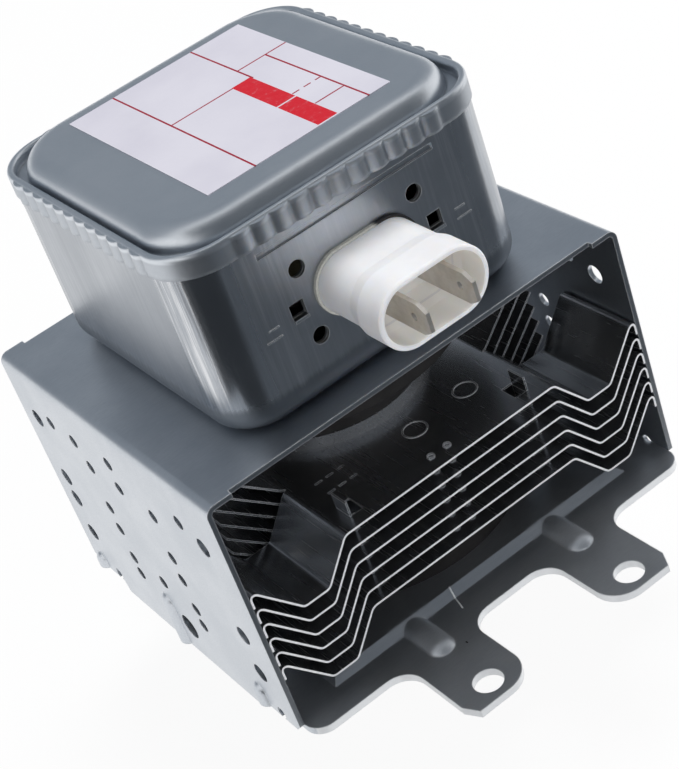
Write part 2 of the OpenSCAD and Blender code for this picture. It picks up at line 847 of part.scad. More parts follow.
// Seals and antenna
module seal_sleeve(h) {
    rotate_extrude() {
        translate([sleeve_r - sleeve_t, 0])
            square([sleeve_t, h]);
        translate([sleeve_r - sleeve_t, 0])
            square([sleeve_lip_r - sleeve_r + sleeve_t, sleeve_lip_t]);
        translate([sleeve_r - sleeve_t - sleeve_in_lip, h - sleeve_t])
            square([sleeve_in_lip + sleeve_t, sleeve_t]);
    }
}
module cathode_sleeve() {
    color("lightgray")
        translate([0, 0, upper_magnet_z])
            seal_sleeve(stem_z - upper_magnet_z);
}
module stem_insulator() {
    color("mistyrose")
        translate([0, 0, stem_z])
            difference() {
                cylinder(h = stem_h, r = sleeve_r - sleeve_t);
                for (x = [-1, 1])
                    translate([x * lead_pitch / 2, 0, -cut])
                        cylinder(h = stem_h + 2 * cut, r = lead_r + fit_gap, $fn = fn_small);
            }
}
module antenna_sleeve() {
    color("lightgray")
        translate([0, 0, lower_pole_z])
            mirror([0, 0, 1])
                seal_sleeve(lower_pole_z + antenna_sleeve_drop);
}
module antenna_insulator() {
    color("mistyrose")
        translate([0, 0, antenna_z1])
            difference() {
                cylinder(h = antenna_ceramic_l, r = antenna_ceramic_r);
                translate([0, 0, -cut])
                    cylinder(h = antenna_ceramic_l + 2 * cut, r = antenna_ceramic_r - antenna_ceramic_t);
            }
}
module antenna_rod() {
    color("peru")
        bent_bar([
            [antenna_hole_x, 0, vane_z0 - fit_gap], [antenna_hole_x, 0, antenna_bend_z],
            [0, 0, antenna_bend_z - antenna_hole_x], [0, 0, antenna_z1 - exhaust_l + pinch_l + cut]
        ], antenna_rod_r);
}
module exhaust_tube() {
    bore = antenna_rod_r + pass_play;
    color("peru")
        translate([0, 0, antenna_z1])
            difference() {
                union() {
                    translate([0, 0, -antenna_flange_t])
                        cylinder(h = antenna_flange_t, r = antenna_cap_r - antenna_cap_t - fit_gap);
                    translate([0, 0, pinch_l - exhaust_l])
                        cylinder(h = exhaust_l - pinch_l, r = exhaust_r);
                    translate([-exhaust_r, -pinch_t / 2, -exhaust_l])
                        cube([2 * exhaust_r, pinch_t, pinch_l]);
                }
                translate([0, 0, pinch_l - exhaust_l])
                    cylinder(h = exhaust_l, r = bore, $fn = fn_small);
            }
}
module antenna_cap() {
    edge_r = 3;
    color("gainsboro")
        translate([0, 0, antenna_z1 - antenna_cap_l])
            rotate_extrude() {
                translate([antenna_cap_r - antenna_cap_t, edge_r])
                    square([antenna_cap_t, antenna_cap_l - edge_r]);
                square([antenna_cap_r - edge_r, antenna_cap_t]);
                translate([antenna_cap_r - edge_r, edge_r])
                    difference() {
                        intersection() {
                            circle(r = edge_r);
                            translate([0, -edge_r])
                                square(edge_r);
                        }
                        circle(r = edge_r - antenna_cap_t);
                    }
            }
}
module rf_gasket() {
    color("darkgray")
        translate([0, 0, plate_rise - gasket_r])
            rotate_extrude()
                translate([gasket_ring_r, 0])
                    circle(r = gasket_r, $fn = fn_small);
}

// Cooling fins
function wing_path() = [
    [0, 0], [fin_flat, 0], [fin_dip_in, -fin_dip], [fin_dip_out, -fin_dip],
    [fin_wall_x - fin_hook_run - fin_t, fin_crest], [fin_wall_x - fin_t, fin_crest],
    [fin_wall_x - fin_t, fin_crest - fin_flange]
];
function raised_path() = [[0, 0], [fin_flat, 0], [fin_raise_x, fin_raise_h]];
module fin_strip(path, y, d) {
    translate([0, y + d, 0])
        rotate([90, 0, 0])
            linear_extrude(d)
                for (x = [0, 1])
                    mirror([x, 0])
                        polygon(sheet(soften(path, fin_bend), fin_t));
}
module fin_slits() {
    for (x = [0, 1], y = [-1, 1])
        mirror([x, 0, 0])
            translate([fin_flat - fin_t, y * fin_mid_d / 2 - fin_slit / 2, -2 * fin_dip])
                cube([yoke_w, fin_slit, 4 * fin_dip + fin_raise_h]);
}
module fin_legs() {
    for (x = [0, 1], y = [0, 1])
        mirror([x, 0, 0])
            mirror([0, y, 0])
                translate([fin_leg_x + fin_leg_w / 2, fin_leg_edge - yoke_d / 2, 0])
                    cube([fin_t, fin_window_l, fin_pitch - fit_gap]);
}
module fin_ring(at, r, w, h) {
    translate([at[0], at[1] - yoke_d / 2, fin_t / 2])
        difference() {
            cylinder(h = fin_t / 2 + h, r = r, $fn = fn_small);
            translate([0, 0, fin_t / 2])
                cylinder(h = h + cut, r = r - w, $fn = fn_small);
        }
}
module fin_rings() {
    for (p = fin_discs)
        fin_ring(p, fin_disc_r, fin_disc_w, fin_disc_t);
    for (x = [-1, 1])
        fin_ring([x * fin_hole_x, fin_hole_edge], fin_small_r + fin_small_lip, fin_small_lip / 2, fin_small_lip);
}
module fin_cuts() {
    translate([0, 0, -fin_t])
        cylinder(h = 3 * fin_t + fin_collar_h, r = fin_hole_r);
    for (x = [-1, 1], y = [0, 1])
        mirror([0, y, 0])
            translate([x * fin_leg_x - fin_leg_w / 2, fin_leg_edge - yoke_d / 2, -fin_t])
                cube([fin_leg_w, fin_window_l, 3 * fin_t]);
    for (x = [-1, 1])
        translate([x * fin_hole_x, fin_hole_edge - yoke_d / 2, -fin_t])
            cylinder(h = 3 * fin_t, r = fin_small_r, $fn = fn_small);
    for (p = fin_slots)
        translate([p[0], p[1] - yoke_d / 2, 0])
            cube([fin_slot[0], fin_slot[1], 3 * fin_t], center = true);
}
module cooling_fin(number) {
    color("silver")
        translate([0, 0, fin_z0 + (6 - number) * fin_pitch])
            difference() {
                union() {
                    fin_strip(wing_path(), -yoke_d / 2, fin_wing_d);
                    fin_strip(raised_path(), -fin_mid_d / 2, fin_mid_d);
                    fin_strip(wing_path(), fin_mid_d / 2, fin_wing_d);
                    cylinder(h = fin_collar_h, r = fin_hole_r + fin_t);
                    fin_legs();
                    fin_rings();
                }
                fin_slits();
                fin_cuts();
            }
}

// Filter box
module drawn_wall() {
    edge = box_corner_r - box_bottom_r;
    translate([box_corner_r - box_t, box_bottom_r])
        square([box_t, box_h - box_bottom_r]);
    translate([edge, box_bottom_r])
        difference() {
            intersection() {
                circle(r = box_bottom_r);
                translate([0, -box_bottom_r])
                    square(box_bottom_r);
            }
            circle(r = box_bottom_r - box_t);
        }
}
module front_marks() {
    for (x = [-1, 1], k = [0, 1])
        translate([x * (mark_x + mark_lengths[k] / 2), box_front_y, conn_axis_z - mark_drop - k * mark_pitch])
            cube([mark_lengths[k], 2 * mark_out, mark_w], center = true);
}
module window_hooks() {
    for (x = [-1, 1])
        translate([x * box_window_x - box_window / 2, box_front_y - hook_out, conn_axis_z - box_window / 2 - box_t])
            cube([box_window, hook_out + box_t, box_t]);
}
module front_holes(y0, depth) {
    for (x = [-1, 1], z = [-1, 1])
        translate([x * box_hole_x, y0, conn_axis_z + z * box_hole_z])
            rotate([-90, 0, 0])
                cylinder(h = depth, r = box_hole_r, $fn = fn_small);
}
module front_windows(y0, depth) {
    for (x = [-1, 1])
        translate([x * box_window_x - box_window / 2, y0, conn_axis_z - box_window / 2])
            cube([box_window, depth, box_window]);
}
module filter_box() {
    color("lightslategray")
        difference() {
            union() {
                translate([0, 0, yoke_h]) {
                    round_rect_sweep(box_w, box_d, box_corner_r)
                        drawn_wall();
                    linear_extrude(box_t)
                        round_rect(
                            box_w - 2 * box_bottom_r, box_d - 2 * box_bottom_r, box_corner_r - box_bottom_r);
                }
                front_marks();
                window_hooks();
            }
            translate([0, 0, yoke_h - cut])
                cylinder(h = box_t + 2 * cut, r = sleeve_hole_r);
            at_connector(box_front_y + box_t + cut)
                oval_plate(neck_r + pass_play, box_t + 2 * cut);
            front_holes(box_front_y - cut, box_t + 2 * cut);
            front_windows(box_front_y - cut, box_t + 2 * cut);
            translate([0, box_front_y, bead_slot_z])
                cube([bead_slot[0], 2 * bead_slot[2], bead_slot[1]], center = true);
        }
}

// Filter lid
module rim_profile() {
    translate([rim_mid_u, box_top_z])
        difference() {
            circle(r = rim_r);
            circle(r = rim_r - lid_t);
            translate([-2 * rim_r, -4 * rim_r])
                square([4 * rim_r, 4 * rim_r]);
        }
    translate([rim_mid_u - rim_r, groove_z - lid_t])
        square([lid_t, box_top_z - groove_z + lid_t]);
    translate([skirt_out_u - lid_t, skirt_z])
        square([lid_t, box_top_z - skirt_z]);
}
module raised_profile() {
    translate([lid_corner_r - lid_t, groove_z - lid_t])
        square([lid_t, lid_top_z - lid_edge_r - groove_z + lid_t]);
    translate([lid_corner_r - lid_edge_r, lid_top_z - lid_edge_r])
        difference() {
            intersection() {
                circle(r = lid_edge_r);
                square(lid_edge_r);
            }
            circle(r = lid_edge_r - lid_t);
        }
}
module groove_floor() {
    inner_r = lid_corner_r - lid_t;
    rim_in = box_t / 2 + rim_r - lid_t;
    translate([0, 0, groove_z - lid_t])
        linear_extrude(lid_t)
            difference() {
                round_rect(box_w - 2 * rim_in, box_d - 2 * rim_in, box_corner_r - rim_in);
                round_rect(lid_w - 2 * lid_t, lid_d - 2 * lid_t, inner_r);
            }
}
module flute() {
    half = flute_pitch / 2 - flute_gap;
    r = (half * half + flute_out * flute_out) / (2 * flute_out);
    translate([flute_out - r, 0, 0])
        cylinder(h = flute_top_z - skirt_z, r = r);
}
module flutes() {
    out = skirt_out_u - box_corner_r;
    for (q = [0 : 3]) {
        half_x = (q % 2 == 0 ? box_w : box_d) / 2 + out;
        side = (q % 2 == 0 ? box_d : box_w) - 2 * box_corner_r;
        count = floor(side / flute_pitch);
        rotate(90 * q)
            for (i = [0 : count - 1])
                translate([half_x, (i - (count - 1) / 2) * flute_pitch, skirt_z])
                    flute();
    }
}
module skirt_slits() {
    for (q = [0 : 3], a = slit_angles) {
        half_x = (q % 2 == 0 ? box_w : box_d) / 2 - box_corner_r;
        half_y = (q % 2 == 0 ? box_d : box_w) / 2 - box_corner_r;
        rotate(90 * q)
            translate([half_x, half_y, skirt_z - cut])
                rotate(a)
                    translate([box_corner_r - box_t / 2, -skirt_slit / 2, 0])
                        cube([2 * box_t + 2 * rim_r, skirt_slit, box_top_z - skirt_z + cut]);
    }
}
module skirt_inside() {
    translate([0, 0, skirt_z - cut])
        linear_extrude(flute_top_z - skirt_z + 2 * cut)
            round_rect(box_w + 2 * lid_play, box_d + 2 * lid_play, box_corner_r + lid_play);
}
module filter_lid() {
    color("slategray") {
        difference() {
            union() {
                round_rect_sweep(box_w, box_d, box_corner_r)
                    translate([skirt_out_u - lid_t, skirt_z])
                        square([lid_t, box_top_z - skirt_z]);
                flutes();
            }
            skirt_inside();
            skirt_slits();
        }
        round_rect_sweep(box_w, box_d, box_corner_r)
            rim_profile();
        round_rect_sweep(lid_w, lid_d, lid_corner_r)
            raised_profile();
        groove_floor();
        translate([0, 0, lid_top_z - lid_t])
            linear_extrude(lid_t)
                round_rect(lid_w - 2 * lid_edge_r, lid_d - 2 * lid_edge_r, lid_corner_r - lid_edge_r);
    }
}
module label() {
    color("lavender")
        translate([label_pos[0] - label_w / 2, label_pos[1] - label_l / 2, lid_top_z])
            cube([label_w, label_l, label_t]);
}

// Connector
module tab_slots(y0, depth, play) {
    for (x = [-1, 1])
        translate([x * tab_pitch / 2 - tab_t / 2 - play, y0, conn_axis_z - tab_w / 2 - play])
            cube([tab_t + 2 * play, depth, tab_w + 2 * play]);
}
module connector_housing() {
    floor_l = mouth_l - socket_l;
    color("white")
        difference() {
            union() {
                at_connector(box_front_y)
                    oval_sweep()
                        polygon([
                            [0, -box_t], [neck_r, -box_t], [neck_r, neck_l],
                            [mouth_r, neck_l + shoulder_l], [mouth_r, mouth_l - lip_r], [mouth_r - lip_r, mouth_l],
                            [mouth_r - mouth_t, mouth_l], [mouth_r - mouth_t, neck_l + shoulder_l],
                            [neck_r - mouth_t, neck_l], [neck_r - mouth_t, floor_l], [0, floor_l]
                        ]);
            }
            tab_slots(box_front_y - mouth_l, mouth_l + 2 * box_t, fit_gap);
        }
}
module connector_gasket() {
    color("lightgray")
        at_connector(box_front_y)
            difference() {
                oval_plate(neck_r + root_flange, root_flange_t);
                translate([0, cut, 0])
                    oval_plate(neck_r + fit_gap, root_flange_t + 2 * cut);
            }
}
module terminal_tabs() {
    z0 = conn_axis_z - tab_w / 2;
    z1 = conn_axis_z + tab_w / 2;
    color("silver")
        for (x = [-1, 1])
            translate([x * tab_pitch / 2 - tab_t / 2, 0, 0])
                rotate([90, 0, 90])
                    linear_extrude(tab_t)
                        difference() {
                            polygon([
                                [tab_y1, z0], [tab_y1, z1], [tab_y0 + 2 * tab_bevel, z1],
                                [tab_y0, z1 - tab_bevel], [tab_y0, z0 + tab_bevel], [tab_y0 + 2 * tab_bevel, z0]
                            ]);
                            translate([tab_y0 + tab_hole_y, conn_axis_z])
                                circle(r = tab_hole_r, $fn = fn_small);
                        }
}
module ground_plate() {
    color("silver")
        difference() {
            at_connector(ground_y + ground_t)
                rotate([90, 0, 0])
                    linear_extrude(ground_t)
                        difference() {
                            round_rect(ground_w, ground_h, 3);
                            oval(neck_r + pass_play);
                        }
            front_holes(ground_y - cut, ground_t + 2 * cut);
            front_windows(ground_y - cut, ground_t + 2 * cut);
        }
}
module capacitor_block() {
    color("darkkhaki")
        difference() {
            at_connector(cap_y + cap_l)
                oval_plate(cap_r, cap_l);
            tab_slots(cap_y - cut, cap_l + 2 * cut, fit_gap);
        }
}

// Chokes: a lead from the tab, the coil, and a lead to the cathode lead
function choke_path() =
    let (
        steps = (choke_turns + 0.5) * wire_steps,
        x = choke_pitch / 2,
        pitch = (choke_y1 - choke_y0) / steps,
        coil = [for (i = [0 : steps])
            let (a = 360 * i / wire_steps)
            [x + choke_r * sin(a), choke_y0 + pitch * i, choke_z + choke_r * cos(a)]]
    )
    concat(
        [[tab_pitch / 2 + tab_t / 2 + fit_gap, choke_y0, choke_z + choke_r]],
        coil,
        [[lead_pitch / 2 + lead_r + fit_gap, choke_y1, choke_z - choke_r]]
    );
module choke_coil() {
    color("orangered")
        wire(choke_path(), choke_wire / 2, [0, 1, 0]);
}
module choke_coil_right() {
    choke_coil();
}
module choke_coil_left() {
    mirror([1, 0, 0])
        choke_coil();
}
module ferrite_core(side) {
    color("dimgray")
        translate([side * choke_pitch / 2, (choke_y0 + choke_y1 + core_l) / 2, choke_z])
            rotate([90, 0, 0])
                cylinder(h = core_l, r = core_r, $fn = fn_small);
}
module ferrite_core_left() {
    ferrite_core(-1);
}
module ferrite_core_right() {
    ferrite_core(1);
}

yoke_frame();
base_plate();
upper_magnet();
lower_magnet();
anode_shell();
anode_vanes();
strap_rings();
upper_pole_piece();
lower_pole_piece();
filament_coil();
upper_end_shield();
lower_end_shield();
centre_lead();
side_lead();
cathode_sleeve();
stem_insulator();
antenna_sleeve();
antenna_insulator();
antenna_rod();
exhaust_tube();
antenna_cap();
rf_gasket();
cooling_fin(1);  // cooling_fin_1
cooling_fin(2);  // cooling_fin_2
cooling_fin(3);  // cooling_fin_3
cooling_fin(4);  // cooling_fin_4
cooling_fin(5);  // cooling_fin_5
cooling_fin(6);  // cooling_fin_6
filter_box();
filter_lid();
label();
connector_housing();
connector_gasket();
terminal_tabs();
ground_plate();
capacitor_block();
choke_coil_left();
choke_coil_right();
ferrite_core_left();
ferrite_core_right();
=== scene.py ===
"""Looks of the magnetron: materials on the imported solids, a pale floor and studio light."""
import bpy
import json
import math
from mathutils import Matrix, Vector


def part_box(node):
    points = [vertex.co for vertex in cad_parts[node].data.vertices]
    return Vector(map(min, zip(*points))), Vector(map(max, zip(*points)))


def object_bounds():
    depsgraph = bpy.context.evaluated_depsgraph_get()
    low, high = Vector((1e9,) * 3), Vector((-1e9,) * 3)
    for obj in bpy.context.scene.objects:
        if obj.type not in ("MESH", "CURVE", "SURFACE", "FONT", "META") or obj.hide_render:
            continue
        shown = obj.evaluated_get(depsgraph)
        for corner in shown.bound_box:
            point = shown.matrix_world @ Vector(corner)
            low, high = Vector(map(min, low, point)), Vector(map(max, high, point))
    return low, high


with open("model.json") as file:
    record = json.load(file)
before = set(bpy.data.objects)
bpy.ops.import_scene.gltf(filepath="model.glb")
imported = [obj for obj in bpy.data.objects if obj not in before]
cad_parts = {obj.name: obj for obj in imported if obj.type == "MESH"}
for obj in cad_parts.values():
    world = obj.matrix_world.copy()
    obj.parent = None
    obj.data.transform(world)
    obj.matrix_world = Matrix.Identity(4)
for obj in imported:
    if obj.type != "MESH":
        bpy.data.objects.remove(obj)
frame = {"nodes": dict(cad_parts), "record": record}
cad_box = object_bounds()
nodes = frame["nodes"]
mounts = {mount["name"]: mount for mount in frame["record"]["mounts"]}
scene = bpy.context.scene
scene.view_settings.view_transform = "Standard"
MM = 0.001

# Camera at the photograph's viewing angle, fitted to the object's edges
CAMERA_AT = (-0.13034, -0.30087, 0.2501)
CAMERA_RIGHT = (0.7776, -0.5562, -0.2933)
CAMERA_UP = (0.5317, 0.3324, 0.779)
CAMERA_BACK = (-0.3357, -0.7617, 0.5542)
CAMERA_LENS = 92.47

# The floor lies just under the lowest point of the part
FLOOR_Z = cad_box[0][2] - 0.2 * MM

# Places on the part that the materials follow
YOKE_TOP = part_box("yoke_frame")[1][2]
YOKE_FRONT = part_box("yoke_frame")[1][1]
FIN_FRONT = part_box("cooling_fin_1")[1][1]
ANODE_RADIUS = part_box("anode_shell")[1][0]
RIB_X = mounts["ear_bolts"]["dims"]["spacing_x_mm"] / 2 * MM
RIB_Y = 43.0 * MM
PLUG_Z = mounts["power_plug"]["pos_m"][2]


def place_camera():
    data = bpy.data.cameras.new("camera")
    data.lens = CAMERA_LENS
    data.sensor_width = 36.0
    data.clip_start = 0.01
    data.clip_end = 20.0
    camera = bpy.data.objects.new("camera", data)
    turn = Matrix((CAMERA_RIGHT, CAMERA_UP, CAMERA_BACK)).transposed().to_4x4()
    camera.matrix_world = Matrix.Translation(CAMERA_AT) @ turn
    scene.collection.objects.link(camera)
    scene.camera = camera


class Shader:
    """Builds one material: a principled shader and the nodes that feed it."""

    def __init__(self, name):
        self.material = bpy.data.materials.new(name)
        self.material.use_nodes = True
        self.tree = self.material.node_tree
        self.shader = self.tree.nodes["Principled BSDF"]
        self.coords = self.node("TexCoord", {}).outputs["Object"]
        self.x, self.y, self.z = self.node("SeparateXYZ", {0: self.coords}).outputs

    def put(self, value, socket):
        """Links a socket to another one, or sets it to a constant."""
        if isinstance(value, bpy.types.NodeSocket):
            self.tree.links.new(value, socket)
        elif socket.type == "RGBA":
            socket.default_value = (*value, 1.0)
        else:
            socket.default_value = value

    def node(self, kind, inputs, **settings):
        """A new node with its settings, and its inputs by name or number."""
        node = self.tree.nodes.new("ShaderNode" + kind)
        for name, value in settings.items():
            setattr(node, name, value)
        for key, value in inputs.items():
            self.put(value, node.inputs[key])
        return node

    def set(self, **values):
        """Sets the inputs of the principled shader."""
        for key, value in values.items():
            name = key.replace("_", " ").title().replace("Ior", "IOR")
            self.put(value, self.shader.inputs[name])

    def math(self, operation, a, b=0.0, c=0.0, clamp=False):
        return self.node("Math", {0: a, 1: b, 2: c}, operation=operation, use_clamp=clamp).outputs[0]

    def plus(self, a, b):
        return self.math("ADD", a, b)

    def minus(self, a, b, clamp=False):
        return self.math("SUBTRACT", a, b, clamp=clamp)

    def times(self, a, b):
        return self.math("MULTIPLY", a, b)

    def most(self, a, b):
        return self.math("MAXIMUM", a, b)

    def size(self, a):
        return self.math("ABSOLUTE", a)

    def ramp(self, value, low, high, to_low=0.0, to_high=1.0):
        """Smooth step from one value at low to another at high."""
        inputs = {"Value": value, "From Min": low, "From Max": high, "To Min": to_low, "To Max": to_high}
        return self.node("MapRange", inputs, interpolation_type="SMOOTHSTEP").outputs[0]

    def mix(self, factor, a, b):
        """Mixes two colours."""
        return self.node("Mix", {0: factor, 6: a, 7: b}, data_type="RGBA").outputs[2]

    def noise(self, scale, detail, roughness):
        """Noise of one scale, or drawn out by a scale for each axis."""
        vector = self.coords
        if isinstance(scale, tuple):
            vector = self.node("Mapping", {"Vector": vector, "Scale": scale}).outputs[0]
            scale = 1.0
        inputs = {"Vector": vector, "Scale": scale, "Detail": detail, "Roughness": roughness}
        return self.node("TexNoise", inputs).outputs[0]

    def spots(self, scale):
        return self.node("TexVoronoi", {"Vector": self.coords, "Scale": scale}).outputs["Distance"]

    def bump(self, height, strength, distance, under=None):
        inputs = {"Height": height, "Strength": strength, "Distance": distance}
        if under is not None:
            inputs["Normal"] = under
        return self.node("Bump", inputs).outputs[0]

    def rounded(self, radius):
        """Normal of the surface with its edges rounded."""
        return self.node("Bevel", {"Radius": radius}, samples=4).outputs[0]

    def along_normal(self, direction):
        """Dot product of a direction and the face's own normal."""
        normal = self.node("NewGeometry", {}).outputs["True Normal"]
        node = self.node("VectorMath", {0: direction, 1: normal}, operation="DOT_PRODUCT")
        return node.outputs["Value"]

    def edge(self, radius):
        """1 along sharp edges, 0 on the faces between them."""
        return self.ramp(self.minus(1.0, self.along_normal(self.rounded(radius))), 0.02, 0.25)

    def facing(self, direction, low=0.7, high=0.9):
        """1 on faces that look one way or the opposite way."""
        return self.ramp(self.size(self.along_normal(direction)), low, high)

    def reach(self, a, b):
        """Long side of the right triangle with the legs a and b."""
        return self.math("SQRT", self.plus(self.times(a, a), self.times(b, b)))

    def stroke(self, start, end, half):
        """1 on a straight stroke of the row's XY plane, in millimetres."""
        length = math.hypot(end[0] - start[0], end[1] - start[1])
        dx, dy = (end[0] - start[0]) / length, (end[1] - start[1]) / length
        x = self.minus(self.x, start[0] * MM)
        y = self.minus(self.y, start[1] * MM)
        along = self.plus(self.times(x, dx), self.times(y, dy))
        across = self.minus(self.times(x, dy), self.times(y, dx))
        return self.times(self.math("COMPARE", along, length / 2 * MM, length / 2 * MM),
                          self.math("COMPARE", across, 0.0, half * MM))

    def rect(self, x0, x1, y0, y1):
        """1 inside a rectangle of the row's XY plane, in millimetres."""
        across = self.math("COMPARE", self.x, (x0 + x1) / 2 * MM, (x1 - x0) / 2 * MM)
        along = self.math("COMPARE", self.y, (y0 + y1) / 2 * MM, (y1 - y0) / 2 * MM)
        return self.times(across, along)


def plated(name):
    """Satin zinc plating with cloudy patches, fine grain and brighter edges, for two materials."""
    s = Shader(name)
    cloud = s.noise(70.0, 5.0, 0.6)
    grain = s.noise((420.0, 2600.0, 2600.0), 4.0, 0.65)
    edge = s.edge(0.4 * MM)
    colour = s.mix(s.ramp(cloud, 0.3, 0.72), (0.60, 0.635, 0.68), (0.69, 0.72, 0.76))
    colour = s.mix(s.ramp(grain, 0.35, 0.75, 0.0, 0.25), colour, (0.52, 0.555, 0.60))
    colour = s.mix(s.times(edge, 0.9), colour, (0.90, 0.91, 0.92))
    scratches = s.ramp(s.noise((2200.0, 60.0, 900.0), 2.0, 0.5), 0.70, 0.78)
    rough = s.plus(s.ramp(grain, 0.3, 0.7, 0.31, 0.42), s.times(scratches, 0.06))
    height = s.plus(s.times(grain, 0.6), s.times(cloud, 0.8))
    return s, edge, colour, rough, height


def plated_sheet():
    """Plated sheet of the yoke, with a painted highlight as a pale line on its top edge and sheared front
    faces darkened with painted shade.
    """
    s, edge, colour, rough, height = plated("plated_sheet")
    # Painted highlight: a pale, less metallic line along the top edge of the sheet.
    top_edge_highlight = s.times(edge, s.ramp(s.z, YOKE_TOP - 0.8 * MM, YOKE_TOP - 0.6 * MM))
    bare = s.most(s.times(edge, 0.55), s.times(top_edge_highlight, 0.95))
    # Raw sheared steel, darkened further with painted shade for the dark surroundings these front faces
    # reflect.
    front = s.ramp(s.size(s.y), YOKE_FRONT - 1.3 * MM, YOKE_FRONT - 1.25 * MM)
    sheared = s.times(front, s.facing((0.0, -1.0, 0.0)))
    colour = s.mix(s.times(sheared, 0.8), colour, (0.28, 0.295, 0.315))
    s.set(base_color=colour, metallic=s.minus(1.0, bare, clamp=True), roughness=rough,
          normal=s.bump(height, 0.10, 0.05 * MM, s.rounded(0.35 * MM)))
    return s.material


def plated_plate():
    """Plated base plate: a pale rim, soft and duller ribs, one scratch and one dark speck."""
    s, edge, colour, rough, height = plated("plated_plate")
    scratch = s.stroke((-7.1, -36.1), (-8.4, -41.6), 0.16)
    colour = s.mix(s.times(scratch, 0.8), colour, (0.90, 0.91, 0.92))
    rim = s.times(s.facing((0.0, 0.0, 1.0), 0.4, 0.2), s.ramp(s.size(s.y), 43.4 * MM, 43.8 * MM))
    colour = s.mix(rim, colour, (0.88, 0.89, 0.90))
    bare = s.most(s.times(s.most(edge, scratch), 0.55), s.times(rim, 0.75))
    speck = s.stroke((-13.6, -49.5), (-13.9, -49.5), 0.3)
    colour = s.mix(speck, colour, (0.08, 0.085, 0.09))
    across = s.size(s.minus(s.size(s.x), RIB_X))
    along = s.size(s.minus(s.size(s.y), RIB_Y))
    near = s.times(s.ramp(across, 5.6 * MM, 4.6 * MM), s.ramp(along, 8.0 * MM, 7.0 * MM))
    soft = s.ramp(near, 0.0, 1.0, 0.35 * MM, 0.8 * MM)
    raised = s.times(near, s.ramp(s.z, 1.65 * MM, 2.0 * MM))
    s.set(base_color=colour, metallic=s.minus(0.93, bare, clamp=True),
          roughness=s.plus(rough, s.times(raised, 0.16)),
          normal=s.bump(height, 0.10, 0.05 * MM, s.rounded(soft)))
    return s.material


def drawn_can():
    """Deep-drawn steel: upright draw streaks, strongest on the corners, above a smooth foot that is darkened
    with painted shade.
    """
    s = Shader("drawn_can")
    streaks = s.noise((950.0, 950.0, 26.0), 5.0, 0.7)
    hair = s.noise((3600.0, 3600.0, 90.0), 3.0, 0.6)
    cloud = s.noise(55.0, 4.0, 0.6)
    x, y = s.size(s.x), s.size(s.y)
    corner = s.times(s.ramp(x, 22.8 * MM, 25.2 * MM), s.ramp(y, 23.6 * MM, 26.2 * MM))
    ends = s.times(s.ramp(y, 30.0 * MM, 34.0 * MM), s.ramp(x, 10.0 * MM, 19.0 * MM))
    ragged = s.plus(s.z, s.times(s.minus(streaks, 0.5), 2.5 * MM))
    above = s.ramp(ragged, 60.2 * MM, 62.6 * MM)
    foot = s.ramp(above, 1.0, 0.0)
    column = s.times(corner, s.ramp(y, 32.0 * MM, 30.4 * MM, 0.12, 0.9))
    sides = s.times(ends, s.ramp(corner, 1.0, 0.0, 0.0, 0.22))
    drawn = s.times(above, s.plus(0.10, s.most(column, sides)))
    light = s.times(drawn, s.ramp(streaks, 0.50, 0.66))
    dark = s.times(drawn, s.ramp(streaks, 0.50, 0.36))
    edge = s.edge(0.2 * MM)
    colour = s.mix(s.ramp(cloud, 0.3, 0.7), (0.41, 0.435, 0.47), (0.48, 0.505, 0.54))
    colour = s.mix(s.times(light, 0.65), colour, (0.88, 0.885, 0.90))
    colour = s.mix(s.times(dark, 0.45), colour, (0.17, 0.18, 0.20))
    colour = s.mix(s.times(drawn, s.ramp(hair, 0.56, 0.72, 0.0, 0.5)), colour, (0.84, 0.85, 0.87))
    # Painted shade: the foot below the drawn band is darkened.
    colour = s.mix(s.times(foot, 0.8), colour, (0.23, 0.255, 0.285))
    colour = s.mix(s.times(edge, 0.8), colour, (0.84, 0.85, 0.86))
    burnished = s.times(corner, above)
    rough = s.minus(s.ramp(streaks, 0.3, 0.7, 0.38, 0.30), s.times(burnished, 0.11))
    height = s.times(drawn, s.plus(streaks, s.times(hair, 0.5)))
    s.set(base_color=colour, metallic=s.minus(1.0, s.times(edge, 0.8)),
          roughness=s.plus(rough, s.times(foot, 0.12)),
          normal=s.bump(height, 0.40, 0.10 * MM, s.rounded(0.3 * MM)))
    return s.material


def lid_sheet():
    """Smooth satin plating of the lid, duller on the fluted skirt, which is darkened with painted shade."""
    s = Shader("lid_sheet")
    cloud = s.noise(45.0, 5.0, 0.6)
    grain = s.noise(2600.0, 3.0, 0.6)
    edge = s.edge(0.45 * MM)
    skirt = s.ramp(s.z, 93.6 * MM, 93.0 * MM)
    colour = s.mix(s.ramp(cloud, 0.3, 0.72), (0.70, 0.74, 0.785), (0.77, 0.80, 0.84))
    colour = s.mix(s.times(edge, s.plus(0.35, s.times(skirt, -0.1))), colour, (0.84, 0.86, 0.88))
    # Painted shade: the fluted skirt is darkened all round.
    colour = s.mix(s.times(skirt, 0.55), colour, (0.42, 0.45, 0.49))
    rough = s.plus(s.ramp(grain, 0.3, 0.7, 0.33, 0.43), s.times(skirt, 0.06))
    height = s.plus(grain, s.times(cloud, 1.5))
    soft = s.ramp(s.z, 94.4 * MM, 93.4 * MM, 0.3 * MM, 1.0 * MM)
    s.set(base_color=colour, metallic=1.0, roughness=rough,
          normal=s.bump(height, 0.08, 0.04 * MM, s.rounded(soft)))
    return s.material


